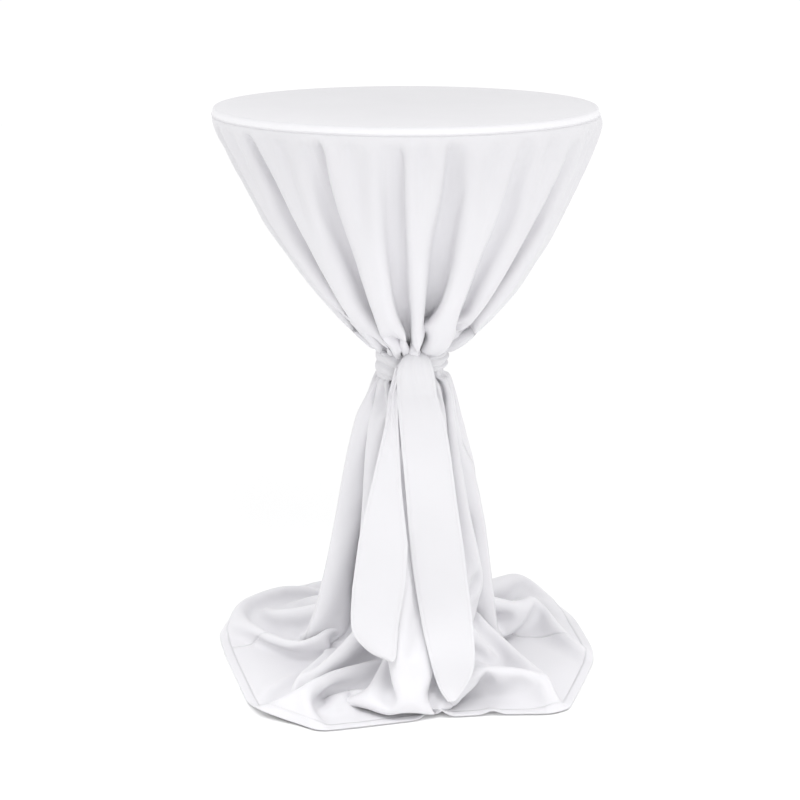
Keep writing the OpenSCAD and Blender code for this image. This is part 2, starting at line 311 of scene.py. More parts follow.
def spread(tree, value, low, high):
    """Maps 0 to 1 onto low to high."""
    return node(tree, "ShaderNodeMapRange", {"Value": value, "To Min": low, "To Max": high}).outputs["Result"]


def shades(tree, value, dark, light):
    """A colour that goes from dark to light with value."""
    ramp = node(tree, "ShaderNodeValToRGB", {"Fac": value})
    ramp.color_ramp.elements[0].position, ramp.color_ramp.elements[1].position = 0.25, 0.75
    ramp.color_ramp.elements[0].color, ramp.color_ramp.elements[1].color = (*dark, 1), (*light, 1)
    return ramp.outputs["Color"]


def bump(tree, height, distance, strength, under=None):
    made = node(tree, "ShaderNodeBump", {"Height": height, "Distance": distance, "Strength": strength})
    if under is not None:
        tree.links.new(under, made.inputs["Normal"])
    return made.outputs["Normal"]


def fabric(name, colour, thread=0.00055, crease=0.0009, highlight_from=None):
    """Plain-woven polyester: threads over and under, slubs along them, and the softest of creases.

    A round panel that goes over an edge gets a painted highlight there: its colour is paler from a given
    distance from the centre on, standing in for light that catches the rounded edge."""
    material, tree, shader = new_material(name, colour, 0.78, {"Sheen Weight": 0.25, "Sheen Roughness": 0.45,
                                                               "Specular IOR Level": 0.25})
    place = node(tree, "ShaderNodeUVMap", uv_map="cloth").outputs["UV"]
    bands = TAU / 20 / thread        # the wave texture turns 20 radians for each unit of its scale
    across, along = (node(tree, "ShaderNodeTexWave", {"Vector": place, "Scale": bands},
                          bands_direction=d).outputs["Fac"] for d in "XY")
    crossed = node(tree, "ShaderNodeMath", {0: across, 1: along}, operation="MULTIPLY").outputs[0]
    weft = noise(tree, stretched(tree, place, (22, 900, 1)), 1.0, 2.0)
    warp = noise(tree, stretched(tree, place, (900, 22, 1)), 1.0, 2.0)
    slub = node(tree, "ShaderNodeMath", {0: weft, 1: warp}, operation="ADD").outputs[0]
    soft = noise(tree, place, 26.0, 3.0)
    normal = bump(tree, soft, crease, 0.5)
    normal = bump(tree, slub, 0.00012, 0.35, normal)
    normal = bump(tree, crossed, 0.00010, 0.30, normal)
    tree.links.new(normal, shader.inputs["Normal"])
    tint = noise(tree, place, 7.0, 4.0)
    dark = tuple(c * 0.972 for c in colour)
    hue = shades(tree, tint, dark, colour)
    if highlight_from is not None:
        # painted highlight: from this distance from the centre on, the colour turns paler, as if lit along
        # the rounded edge
        reach = node(tree, "ShaderNodeVectorMath", {0: place}, operation="LENGTH").outputs["Value"]
        painted_highlight = node(tree, "ShaderNodeMapRange", {"Value": reach, "From Min": highlight_from,
                                                    "From Max": highlight_from + 0.006}).outputs["Result"]
        # the mix node's colour inputs are its sockets 6 and 7, and its colour output is socket 2
        hue = node(tree, "ShaderNodeMix", {0: painted_highlight, 6: hue, 7: (*PAINTED_HIGHLIGHT_COLOUR, 1)},
                   data_type="RGBA").outputs[2]
    tree.links.new(hue, shader.inputs["Base Color"])
    half_slub = node(tree, "ShaderNodeMath", {0: slub, 1: 0.5}, operation="MULTIPLY").outputs[0]
    tree.links.new(spread(tree, half_slub, 0.70, 0.86), shader.inputs["Roughness"])
    return material


def grained(name, dark, light, roughness, scale, grain, depth, wear=0.08):
    """Painted, plated or moulded surfaces: a mottled colour, an uneven gloss and a fine grain."""
    material, tree, shader = new_material(name, light, roughness)
    place = node(tree, "ShaderNodeTexCoord").outputs["Object"]
    patches = noise(tree, place, scale, 5.0, 0.6)
    tree.links.new(shades(tree, patches, dark, light), shader.inputs["Base Color"])
    tree.links.new(spread(tree, patches, roughness + wear, roughness - wear), shader.inputs["Roughness"])
    fine = noise(tree, place, grain, 3.0)
    tree.links.new(bump(tree, fine, depth, 0.5), shader.inputs["Normal"])
    return material


def laminate(name):
    """The board's face: a pale wood laminate with its grain along X."""
    material, tree, shader = new_material(name, (0.58, 0.45, 0.31), 0.42)
    place = node(tree, "ShaderNodeTexCoord").outputs["Object"]
    grain = noise(tree, stretched(tree, place, (3, 55, 55)), 1.0, 6.0, 0.6)
    tree.links.new(shades(tree, grain, (0.42, 0.30, 0.19), (0.66, 0.53, 0.38)), shader.inputs["Base Color"])
    pores = noise(tree, stretched(tree, place, (18, 700, 700)), 1.0, 2.0)
    tree.links.new(bump(tree, pores, 0.0002, 0.4), shader.inputs["Normal"])
    return material


def drawn_steel(name):
    """Zinc-plated fasteners: bright, with fine turning marks and a faint yellow mottle."""
    material, tree, shader = new_material(name, (0.62, 0.62, 0.61), 0.34, {"Metallic": 1.0})
    place = node(tree, "ShaderNodeTexCoord").outputs["Object"]
    patches = noise(tree, place, 90.0, 4.0)
    tree.links.new(shades(tree, patches, (0.52, 0.52, 0.50), (0.68, 0.68, 0.67)), shader.inputs["Base Color"])
    rings = noise(tree, stretched(tree, place, (40, 40, 2500)), 1.0, 2.0)
    tree.links.new(bump(tree, rings, 0.00008, 0.4), shader.inputs["Normal"])
    return material


CLOTH_COLOUR = (0.732, 0.726, 0.749)
# the paler colour of the painted highlight on the top panel's rounded edge
PAINTED_HIGHLIGHT_COLOUR = (0.825, 0.82, 0.84)
cloth_white = fabric("cloth_white", CLOTH_COLOUR)
# the top panel's cloth, with its painted highlight from 3 mm inside the panel's edge
top_white = fabric("top_white", CLOTH_COLOUR, highlight_from=PANEL_R - 0.003)
sash_white = fabric("sash_white", (0.70, 0.695, 0.716), crease=0.0006)
thread_white = grained("thread_white", (0.74, 0.74, 0.75), (0.82, 0.82, 0.83), 0.6, 200.0, 4000.0, 0.00005)
MATERIALS = {
    "cord_white": fabric("cord_white", CLOTH_COLOUR, crease=0.0003),
    "board": laminate("board_laminate"),
    "edge_band": grained("edge_band", (0.05, 0.05, 0.05), (0.08, 0.08, 0.08), 0.45, 30.0, 900.0, 0.0001),
    "steel_black": grained("powder_coat", (0.022, 0.022, 0.023), (0.034, 0.034, 0.036), 0.55, 40.0, 1400.0,
                           0.00025),
    "zinc_steel": drawn_steel("zinc_plate"),
    "cast_base": grained("cast_iron_paint", (0.024, 0.024, 0.025), (0.042, 0.042, 0.044), 0.6, 25.0, 320.0,
                         0.0006),
    "trim_black": grained("trim_plastic", (0.02, 0.02, 0.02), (0.035, 0.035, 0.036), 0.5, 60.0, 900.0,
                          0.0001),
    "glide_black": grained("glide_plastic", (0.018, 0.018, 0.018), (0.04, 0.04, 0.04), 0.62, 80.0, 700.0,
                           0.0002),
}


def give(obj, material, slot):
    obj.data.materials.clear()
    obj.data.materials.append(material)
    return obj


def settle(obj, material, slot, *nodes):
    """A piece that stays on the table: its material, its body, and the CAD nodes that it stands for."""
    give(obj, material, slot)
    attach(obj, ROOT)
    if nodes:
        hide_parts(*nodes)
    return obj


def dress_frame():
    """The CAD pieces that stay in view get their finishes."""
    for part in frame["record"]["subparts"]:
        finish = MATERIALS.get(part["material_slot"])
        if finish is not None:
            mesh = frame["nodes"][part["node"]].data
            if not mesh.materials:
                mesh.materials.append(finish)
            for k in range(len(mesh.materials)):
                mesh.materials[k] = finish


# ---------- how the skirt's folds start ----------

def profile_rows():
    """The skirt's outside line as rows a row gap apart, their outward normals, and the rows of each part."""
    bell, bell_s = smooth_line(BELL_LINE)
    cone, cone_s = smooth_line(CONE_LINE)
    bell_rows = round(bell_s[-1] / ROW_GAP)
    waist_rows = round((WAIST_TOP - WAIST_LOW) / ROW_GAP)
    cone_rows = round(cone_s[-1] / ROW_GAP)
    pool_rows = round(POOL_LEN / ROW_GAP)
    share = np.linspace(0, 1, pool_rows + 1)[1:]
    laid_to = RIM_R + 0.008              # the pool's rows only need a rough place here
    rows = np.concatenate([
        at_length(bell, bell_s, np.arange(bell_rows) / bell_rows * bell_s[-1]),
        np.linspace((WAIST_R, WAIST_TOP), (WAIST_R, WAIST_LOW), waist_rows, endpoint=False),
        at_length(cone, cone_s, np.linspace(0, cone_s[-1], cone_rows + 1)),
        np.stack([POOL_R + (laid_to - POOL_R) * share, POOL_Z * (1 - share) ** 3], 1)])
    ahead = unit(np.gradient(rows, axis=0))
    normal = np.stack([-ahead[:, 1], ahead[:, 0]], 1)
    normal *= np.sign(normal.sum(1, keepdims=True) + 1e-9)
    return rows, normal, bell_rows, waist_rows, cone_rows


def hairpin(x):
    """1 at 0, 0 at 1, straight between, with a round tip and a round foot."""
    soft = 0.16
    x = np.clip(np.abs(x), 0, 1)
    top = 1 - soft / 2
    y = np.where(x < soft, top - x * x / (2 * soft), np.where(x > 1 - soft, (1 - x) ** 2 / (2 * soft), 1 - x))
    return np.clip(y / top, 0, 1)


def fold_row(radius, weights, places, points, max_half_width, fine=40):
    """One row of folded cloth: how far in each point is, and its angle.

    A fold keeps its place in the cloth. The depths are scaled, by halving, until the row's cloth just
    fits around the circle."""
    off_column, plain_below, least_plain = 0.014, 3e-4, 0.003
    gaps = np.diff(np.append(places, places[0] + CLOTH_AROUND))
    room = 0.36 * TAU * radius / max(weights.sum() / weights.max(), 1)
    front = hill(places / (CLOTH_AROUND / TAU), 0.5)
    deepest = (radius - COLUMN_R - off_column) * (1 - 0.15 * front)

    def layout(scale):
        """Depths, half widths and the plain cloth between folds, when all depths are scaled."""
        depth = np.minimum(scale * weights, deepest)
        half = np.minimum(np.minimum(0.9 * depth + 0.0015, max_half_width), room)
        half = np.where(depth < plain_below, 0, half)
        flank = np.sqrt(depth**2 + half**2) * (depth >= plain_below)
        fit = np.minimum(1, (gaps - least_plain) / np.maximum(flank + np.roll(flank, -1), 1e-6))
        flank = flank * np.minimum(fit, np.roll(fit, 1))
        half = np.minimum(half, flank * 0.8)
        return np.sqrt(np.maximum(flank**2 - half**2, 0)), half, gaps - flank - np.roll(flank, -1)

    low, high = 0.0, 0.15
    for _ in range(30):
        middle = (low + high) / 2
        _, half, plain = layout(middle)
        if (plain + half + np.roll(half, -1)).sum() > TAU * radius:
            low = middle
        else:
            high = middle
    depth, half, plain = layout(high)
    step = plain + half + np.roll(half, -1)
    turn = TAU / step.sum()
    centre = np.concatenate([[0], np.cumsum(step)[:-1]]) * turn
    t = np.linspace(0, 1, fine, endpoint=False)
    cloth, angle, inward = [], [], []
    for k in range(len(places)):
        after = (k + 1) % len(places)
        a = np.concatenate([centre[k] + t * half[k] * turn, centre[k] + (half[k] + t * plain[k]) * turn,
                            centre[k] + (half[k] + plain[k] + t * half[after]) * turn])
        d = np.concatenate([depth[k] * hairpin(t), np.zeros(fine), depth[after] * hairpin(1 - t)])
        end = centre[k] + step[k] * turn
        x = np.append((radius - d) * np.sin(a), (radius - depth[after]) * math.sin(end))
        y = np.append((radius - d) * np.cos(a), (radius - depth[after]) * math.cos(end))
        length = travelled(np.stack([x, y], 1))
        cloth.append(places[k] + length[:-1] / length[-1] * gaps[k])
        angle.append(a)
        inward.append(d)
    cloth, angle, inward = (np.concatenate(c) for c in (cloth, angle, inward))
    cloth = np.append(cloth, cloth[0] + CLOTH_AROUND)
    angle = np.append(angle, angle[0] + TAU)
    inward = np.append(inward, inward[0])

    def wrapped(u):
        return (u - places[0]) % CLOTH_AROUND + places[0]
    ahead = np.interp(wrapped(0.0), cloth, angle)
    return np.interp(wrapped(points), cloth, inward), np.interp(wrapped(points), cloth, angle) - ahead


def hem_radius(angle):
    """The hem's distance from the column, in a smoothed version of its outline."""
    degrees = (np.degrees(angle) + 180) % 360 - 180
    places, radii = np.array(HEM_LINE + [(HEM_LINE[0][0] + 360, HEM_LINE[0][1])], float).T
    fine = np.arange(-180, 180, 1.0)
    reach, width = 20, 9.0               # degrees that the smoothing looks to each side, and its width
    value = np.interp(fine, places, radii)
    kernel = hill(np.arange(-reach, reach + 1), width)
    ring = np.concatenate([value[-reach:], value, value[:reach]])
    value = np.convolve(ring, kernel / kernel.sum(), "valid")
    return np.interp(degrees, np.append(fine, 180), np.append(value, value[0]))


def all_folds():
    """Main folds, with one or two small pleats between each two, as places in the cloth and depths."""
    draw = np.random.default_rng(4)
    places = np.array([f[0] for f in MAIN_FOLDS], float)
    widths = np.append(places[1:], places[0] + 360) - places
    small = []
    for place, width in zip(places, widths):
        count = 2 if width > 27 else 1
        small += [place + width * (i + 1) / (count + 1) + draw.uniform(-1.5, 1.5) for i in range(count)]
    degrees = np.concatenate([places, small])
    order = np.argsort(degrees)
    depths = [np.concatenate([[f[k] for f in MAIN_FOLDS], np.zeros(len(small))])[order] for k in (1, 2, 3)]
    return degrees[order] / 360 * CLOTH_AROUND, (np.arange(len(degrees)) < len(places))[order], *depths


def pull_to_knot(radius):
    """How much the folds of the bell lean to the front, where the sash is drawn tight."""
    return 0.30 * (1 - smoothstep(0.17, 0.34, radius)) * smoothstep(0.06, 0.12, radius)


def pool_shape(angle, inward, share):
    """Radius and height of a pool row: out to the hem, with its slack in one soft hump around."""
    base = hem_radius(angle) - POOL_R
    slack = np.maximum(POOL_LEN - base * 1.03, 0)
    rise = np.sqrt(4 * base * slack) / math.pi
    middle = 0.36 + 0.08 * np.sin(2 * angle + 0.6)
    hump = rise * hill(share - middle, 0.26)
    lift = (inward.max() - inward) * (1 - share) + hump * (1 - share**4)
    radius = POOL_R + base * share - inward * (1 - share) ** 4 + 0.55 * hump * (1 - share)
    return radius, POOL_Z * (1 - share) ** 3 + 0.006 + lift * min(1.0, share * 4)


def start_shape():
    """The skirt as it is folded, before it falls: rows x columns x 3, and the rows that the sash holds."""
    rows, normal, bell_rows, waist_rows, cone_rows = profile_rows()
    places, is_main, bell_depth, rim_depth, cone_depth = all_folds()
    points = (np.arange(COLUMNS) + 0.5) / COLUMNS * CLOTH_AROUND - CLOTH_AROUND / 2
    last_cone = bell_rows + waist_rows + cone_rows
    at = np.zeros((len(rows), COLUMNS, 3))
    for j, ((radius, height), n) in enumerate(zip(rows, normal)):
        pleats = 1 - smoothstep(0.085, 0.24, radius)     # the small pleats are there only near the waist
        above = j < bell_rows + waist_rows
        if above:
            # from the rim's depths to the bell's, and from nothing at the seam, sooner in the deep folds
            near_rim = smoothstep(0.27, 0.345, radius)
            depth = np.where(is_main, bell_depth * (1 - near_rim) + rim_depth * near_rim, pleats)
            depth = depth * np.where(rim_depth > 1, smoothstep(0, 4, j), smoothstep(0, 14, j)) + 1e-4
        else:
            # from the waist's depths to the cone's, and to nothing where the pool lies flat
            few = smoothstep(0.10, 0.15, radius)
            depth = np.where(is_main, bell_depth * (1 - few) + cone_depth * few, pleats)
            depth = depth * (1 - smoothstep(0.30, 0.365, radius)) + 1e-4
        inward, angle = fold_row(radius, depth, places, points, 0.013 if above else 0.02)
        inward = inward * min(1, j / 3)
        if above:
            angle = angle - pull_to_knot(radius) * np.where(angle < 0, 1, 0.4) * np.sin(angle)
        if j <= last_cone:
            r, z = radius - n[0] * inward, height - n[1] * inward
        else:
            r, z = pool_shape(angle, inward, (j - last_cone) / (len(rows) - 1 - last_cone))
        below_top = 1 - float(smoothstep(0.9, 1.0, height))
        aside = WAIST_X * math.exp(-((height - WAIST_TOP) / 0.27) ** 2) * below_top
        at[j] = points_around(r, angle, z, aside)
    lift_over_arms(at)
    return at, slice(bell_rows, bell_rows + waist_rows + 1)


def along_arms(x, y):
    """Distances along and across the nearest arm, which stand at 45 degrees, and its turned coordinates."""
    q = math.sqrt(0.5)
    u, v = (x + y) * q, (y - x) * q
    return np.maximum(np.abs(u), np.abs(v)), np.minimum(np.abs(u), np.abs(v)), u, v


def lift_over_arms(at):
    """Raises points that would start inside an arm, and those beside it in a soft slope."""
    along, across, _, _ = along_arms(at[..., 0], at[..., 1])
    top = np.interp(along, *ARM_TOP) + 0.010
    beyond = smoothstep(ARM_REACH + 0.002, ARM_REACH + 0.025, along)
    over = (1 - smoothstep(0.022, 0.042, across)) * (1 - beyond)
    at[..., 2] = np.maximum(at[..., 2], np.maximum(top * over, HEM_Z + 0.001))


# ---------- the cloth solver ----------

class Cloth:
    """A closed tube of points held by lengths that hardly give, with friction.

    Points that come too near are pushed apart, but in tight folds the cloth can still cross itself."""

    CLEAR = 0.0042           # half the distance that near points are pushed apart to
    WAIST_CLEAR = 0.002      # the same where the sash squeezes the cloth
    TIME_STEP = 1 / 500      # seconds
    PULL_OF_GRAVITY = 5.0    # light cloth falls slowly in air
    KEEP_SPEED = 0.994       # the share of its speed that a point keeps from step to step
    TOP_SPEED = 3.0          # metres a second
    GIVE_LENGTH, GIVE_SHEAR = 1e-9, 4e-6            # how easily lengths and diagonals give
    GIVE_BEND_BELL, GIVE_BEND_POOL = 3e-5, 3e-6     # how easily the cloth bends
    DRAWN_TIGHT = 0.012      # the share by which the front of the bell is shorter, drawn down by the sash
    RUB = 0.35               # the share of a slide that friction takes away
    LOOK_EVERY = 6           # steps between two searches for near layers
    HEM_HELD = 0.85          # the share of the fall for which the hem stays on its outline
    OFF_COLUMN, OFF_ARM, OFF_SIDE = 0.004, 0.004, 0.003      # gaps that are kept to the table's parts
    COLLAR_KEEP, HUB_KEEP = 0.047, 0.019                     # least radius at the collar, height on the hub

    def __init__(self, at, held):
        self.at = at.copy()
        self.speed = np.zeros_like(at)
        self.loose = np.ones(at.shape[:2])
        self.loose[[0, -1]] = 0
        self.loose[held] = 0
        rows = np.arange(len(at))
        from_waist = np.minimum(np.abs(rows - held.start), np.abs(rows - held.stop + 1))
        from_waist[held] = 0
        clear = self.WAIST_CLEAR + (self.CLEAR - self.WAIST_CLEAR) * smoothstep(0, 9, from_waist)
        self.clear = np.repeat(clear, at.shape[1])
        stiffer = smoothstep(held.stop, held.stop + 40, rows)
        self.bend = (self.GIVE_BEND_BELL + (self.GIVE_BEND_POOL - self.GIVE_BEND_BELL) * stiffer)[:, None]
        around = (np.arange(at.shape[1]) + 0.5) / at.shape[1] * TAU - math.pi
        front = hill(around, 0.75)[None] * (rows < held.start)[:, None]
        self.row_length = ROW_GAP * (1 - self.DRAWN_TIGHT * front)
        self.near = (np.zeros(0, int), np.zeros(0, int))

    @staticmethod
    def pull(a, b, rest, give, loose_a, loose_b, only):
        """Moves a and b to their rest distance, or only those that are too far apart or too near."""
        d = a - b
        length = np.sqrt(np.einsum("...i,...i", d, d)) + 1e-9
        error = length - rest
        if only == "short":
            error = np.minimum(error, 0)
        elif only == "long":
            error = np.maximum(error, 0)
        share = loose_a + loose_b
        k = np.where(share > 0, error / np.maximum(share + give, 1e-9) / length, 0)[..., None] * d
        a -= loose_a[..., None] * k
        b += loose_b[..., None] * k

    def hold(self, down, along, rest, give=0.0, only=None):
        """Holds each point to the one down rows and along columns away, in sets that share no point."""
        at, loose = self.at, self.loose
        give = np.broadcast_to(give, (len(at), 1)) / self.TIME_STEP**2
        rest = np.broadcast_to(rest, loose.shape)
        rows, columns = np.arange(len(at) - down), np.arange(at.shape[1])
        for phase in (0, 1):
            if down:
                j = rows[(rows // down) % 2 == phase]
                i = (columns + along) % len(columns)
                a, b = at[j], at[j + down][:, i]
                self.pull(a, b, rest[j], give[j], loose[j], loose[j + down][:, i], only)
                at[j] = a
                moved = at[j + down]
                moved[:, i] = b
                at[j + down] = moved
            else:
                i = columns[(columns // along) % 2 == phase]
                other = (i + along) % len(columns)
                a, b = at[:, i], at[:, other]
                self.pull(a, b, rest[:, i], give, loose[:, i], loose[:, other], only)
                at[:, i], at[:, other] = a, b

    def find_near(self):
        """Pairs of points closer than one and a half clearances, each pair once."""
        flat = self.at.reshape(-1, 3)
        reach = 3 * self.CLEAR
        size = 4096
        cell = np.floor((flat + 2.0) / reach).astype(np.int64)
        key = (cell[:, 0] * size + cell[:, 1]) * size + cell[:, 2]
        order = np.argsort(key, kind="stable")
        sorted_key = key[order]
        count = len(flat)
        firsts, seconds = [], []
        around = [(dx, dy, dz) for dx in (-1, 0, 1) for dy in (-1, 0, 1) for dz in (-1, 0, 1)]
        for dx, dy, dz in around[13:]:       # from (0, 0, 0) on, so that a pair is met from one side only
            wanted = sorted_key + (dx * size + dy) * size + dz
            low = np.searchsorted(sorted_key, wanted, "left")
            if (dx, dy, dz) == (0, 0, 0):
                low = np.arange(count) + 1
            number = np.maximum(np.searchsorted(sorted_key, wanted, "right") - low, 0)
            skipped = np.concatenate([[0], np.cumsum(number)[:-1]])
            a = np.repeat(np.arange(count), number)
            b = np.repeat(low - skipped, number) + np.arange(number.sum())
            firsts.append(order[a])
            seconds.append(order[b])
        a, b = np.concatenate(firsts), np.concatenate(seconds)
        d = flat[a] - flat[b]
        close = (d * d).sum(1) < reach * reach
        self.near = (a[close], b[close])

    def part_layers(self):
        """Pushes points apart that have come too near."""
        a, b = self.near
        if not len(a):
            return
        flat, loose = self.at.reshape(-1, 3), self.loose.reshape(-1)
        room = self.clear[a] + self.clear[b]
        d = flat[a] - flat[b]
        length = np.sqrt((d * d).sum(1)) + 1e-9
        hit = length < room
        a, b, d, length, room = a[hit], b[hit], d[hit], length[hit], room[hit]
        push = (0.6 * (room - length) / length / np.maximum(loose[a] + loose[b], 1e-9))[:, None] * d
        for k in range(3):
            flat[:, k] += np.bincount(a, push[:, k] * loose[a], len(flat))
            flat[:, k] -= np.bincount(b, push[:, k] * loose[b], len(flat))

    def rest_on_table(self, before):
        """Keeps the cloth outside the column, the hub, the arms, the table's edge and the floor."""
        at, free = self.at, self.loose > 0
        x, y, z = at[..., 0], at[..., 1], at[..., 2]
        r = np.hypot(x, y) + 1e-9
        least = np.where(z < COLLAR_TOP - 0.002, self.COLLAR_KEEP, COLUMN_R + self.OFF_COLUMN)
        least = np.where((z > SEAM_Z - 0.015) & (r > 0.3), RIM_R - 0.001, least)
        grow = np.where(free & (r < least), least / r, 1)
        x *= grow
        y *= grow
        floor = np.where(r < HUB_R + self.OFF_SIDE, self.HUB_KEEP, HEM_Z)
        along, across, u, v = along_arms(x, y)
        top = np.interp(along, *ARM_TOP) + self.OFF_ARM
        half, reach = ARM_HALF_W + self.OFF_SIDE, ARM_REACH + self.OFF_ARM
        inside = (along < reach) & (across < half) & (z < top)
        up, side, end = top - z, half - across, reach - along
        go_up = inside & (up <= side) & (up <= end)
        go_end = inside & ~go_up & (end < side)
        go_side = inside & ~go_up & ~go_end
        touched = ((z < floor) | go_up) & free
        z[...] = np.where(go_up, top, np.maximum(z, floor))
        along_u = np.abs(u) >= np.abs(v)
        sign_u, sign_v = np.where(u < 0, -1, 1), np.where(v < 0, -1, 1)
        new_u = np.where(go_side & ~along_u, sign_u * half, np.where(go_end & along_u, sign_u * reach, u))
        new_v = np.where(go_side & along_u, sign_v * half, np.where(go_end & ~along_u, sign_v * reach, v))
        q = math.sqrt(0.5)
        x[...], y[...] = (new_u - new_v) * q, (new_u + new_v) * q
        slowed = before[..., :2] + (at[..., :2] - before[..., :2]) * (1 - self.RUB)
        at[..., :2] = np.where(touched[..., None], slowed, at[..., :2])

    def step(self, number):
        """One step: fall, hold the lengths, part the layers, rest on the table, and take the new speed."""
        free = (self.loose > 0)[..., None]
        self.speed[..., 2] -= self.PULL_OF_GRAVITY * self.TIME_STEP
        self.speed *= self.KEEP_SPEED
        before = self.at.copy()
        self.at += self.speed * self.TIME_STEP * free
        for rows in (24, 5):
            self.hold(rows, 0, rows * ROW_GAP, only="long")
        self.hold(1, 0, self.row_length, self.GIVE_LENGTH)
        self.hold(0, 1, COLUMN_GAP, self.GIVE_LENGTH)
        diagonal = math.hypot(ROW_GAP, COLUMN_GAP)
        self.hold(1, 1, diagonal, self.GIVE_SHEAR)
        self.hold(1, -1, diagonal, self.GIVE_SHEAR)
        self.hold(2, 0, 2 * ROW_GAP, self.bend, only="short")
        self.hold(0, 2, 2 * COLUMN_GAP, self.bend, only="short")
        if number % self.LOOK_EVERY == 0:
            self.find_near()
        self.part_layers()
        self.rest_on_table(before)
        self.speed = (self.at - before) / self.TIME_STEP * free
        fast = np.sqrt((self.speed**2).sum(-1, keepdims=True))
        self.speed *= np.minimum(1, self.TOP_SPEED / np.maximum(fast, 1e-9))


def fall(steps):
    """The skirt after it has fallen and come to rest. The hem is held to its outline until near the end."""
    start, held = start_shape()
    start[-1, :, 2] = HEM_Z
    cloth = Cloth(start, held)
    for number in range(steps):
        if number == int(steps * cloth.HEM_HELD):
            cloth.loose[-1] = 1
        cloth.step(number)
    return cloth.at


def sharpen(points, amount=0.9, rounds=6, most=0.0035):
    """Crisper folds in the bell, where the cloth is pressed and drawn: its detail around is made stronger."""
    smooth = points
    for _ in range(rounds):
        smooth = (np.roll(smooth, 1, 1) + 2 * smooth + np.roll(smooth, -1, 1)) / 4
    detail = points - smooth
    detail[..., 2] = 0
    length = np.linalg.norm(detail, axis=-1, keepdims=True)
    detail *= np.minimum(1, most / np.maximum(length, 1e-9))
    where = smoothstep(0.70, 0.80, points[..., 2:]) * smoothstep(0, 4, np.arange(len(points)))[:, None, None]
    return points + amount * where * detail


def press_creases(points):
    """How far the cloth is moved by creases that are pressed in.

    The seam gathers the main folds into valleys with lips beside them, and the cloth between them is
    puckered. The right side has a strip of fine crumples."""
    valley_depth, valley_width = 0.0034, 0.0085
    lip_height, lip_place, lip_width = 0.30, 0.018, 0.012
    cloth = (np.arange(FINE_COLUMNS) / 2 + 0.5) * COLUMN_GAP - CLOTH_AROUND / 2
    rows = np.arange(len(points))[:, None]
    height = points[..., 2]
    rise = np.zeros(points.shape[:2])
    for degrees, _, at_rim, _ in MAIN_FOLDS:
        if at_rim > 1:
            away = (cloth - degrees / 360 * CLOTH_AROUND)[None]
            deep = valley_depth * at_rim * smoothstep(0.78, 0.98, height)
            valley = hill(away, valley_width)
            lips = hill(away - lip_place, lip_width) + hill(away + lip_place, lip_width)
            rise += deep * (lip_height * lips * smoothstep(0, 3, rows) - valley * smoothstep(1, 6, rows))
    rise += 0.0006 * between(0, 2, 3, 10, rows) * (1 + wave_noise(cloth[None] * 240, rows * 0.2, 17))
    strip = hill(cloth[None] - 0.36, 0.028) * between(0.70, 0.78, 0.99, 1.04, height)
    rise += 0.0016 * strip * wave_noise(cloth[None] * 60 + rows * 0.35, rows * 0.30, 31)
    return normals_of(points, closed=True) * rise[..., None]


skirt = finer(fall(1100), closed=True)
FINE_COLUMNS = skirt.shape[1]
FINE_GAP = CLOTH_AROUND / FINE_COLUMNS
skirt = sharpen(skirt)
skirt = skirt + press_creases(skirt)
skirt_normal = normals_of(skirt, closed=True)
skirt_uv = grid_uv(np.arange(FINE_COLUMNS)[None] * FINE_GAP, -np.arange(len(skirt))[:, None] * ROW_GAP / 2)
LEFT_SEAM, RIGHT_SEAM = FINE_COLUMNS // 4, FINE_COLUMNS * 3 // 4


# ---------- skirt pieces ----------

def skirt_panel(side, columns):
    """One panel, from side seam to side seam."""
    columns = np.asarray(columns) % FINE_COLUMNS
    uv = skirt_uv[:, :1].repeat(len(columns), 1).copy()
    uv[..., 0] = np.arange(len(columns)) * FINE_GAP
    piece = thicken(grid_mesh(f"skirt_{side}_panel", skirt[:, columns], uv), 0.0008)
    nodes = [f"skirt_{side}_{part}" for part in ("upper", "lower", "pool")]
    settle(piece, cloth_white, "cloth_white", *nodes)


def tube(name, path, radius, sides=8):
    """A round cord along a path."""
    ahead = unit(np.gradient(path, axis=0))
    side = unit(np.cross(ahead, np.array([0.31, 0.17, 0.93])))
    up = np.cross(side, ahead)
    turn = np.arange(sides) / sides * TAU
    around = np.cos(turn)[None, :, None] * side[:, None] + np.sin(turn)[None, :, None] * up[:, None]
    uv = grid_uv(turn[None] * radius, travelled(path)[:, None])
    return grid_mesh(name, path[:, None] + radius * around, uv, closed_columns=True)


def stitches(name, path, normal, pitch, length=0.0026, radius=0.00030):
    """A row of small threads on a line of cloth, as one mesh."""
    s = travelled(path)
    starts = np.arange(pitch / 2, s[-1] - pitch, pitch)
    share = np.array([0, 0.12, 0.5, 0.88, 1.0])
    swell = np.array([0.15, 0.85, 1.0, 0.85, 0.15])
    sides = 5
    turn = np.arange(sides) / sides * TAU
    line = at_length(path, s, starts[:, None] + share * length)
    n = unit(at_length(normal, s, starts))
    side = np.cross(n, unit(line[:, -1] - line[:, 0]))
    ring = np.cos(turn)[:, None] * side[:, None] + np.sin(turn)[:, None] * n[:, None]
    points = (line + n[:, None] * 0.0002)[:, :, None] + ring[:, None] * (swell * radius)[None, :, None, None]
    index = np.arange(points.size // 3).reshape(len(starts), len(share), sides)
    here, after = index[:, :-1], index[:, 1:]
    quads = np.stack([here, np.roll(here, -1, 2), np.roll(after, -1, 2), after], -1).reshape(-1, 4)
    caps = np.concatenate([index[:, 0, ::-1], index[:, -1]])
    return mesh_object(name, points, quads.tolist() + caps.tolist())


def skirt_pieces():
    """The front and back panels, and the cord of each side seam just inside the join."""
    skirt_panel("front", np.arange(LEFT_SEAM, RIGHT_SEAM + 1))
    skirt_panel("back", np.arange(RIGHT_SEAM, LEFT_SEAM + FINE_COLUMNS + 1))
    for side, column in (("left", LEFT_SEAM), ("right", RIGHT_SEAM)):
        seam = tube(f"side_seam_{side}", skirt[:, column] - 0.0005 * skirt_normal[:, column], 0.0006)
        settle(seam, cloth_white, "cloth_white")


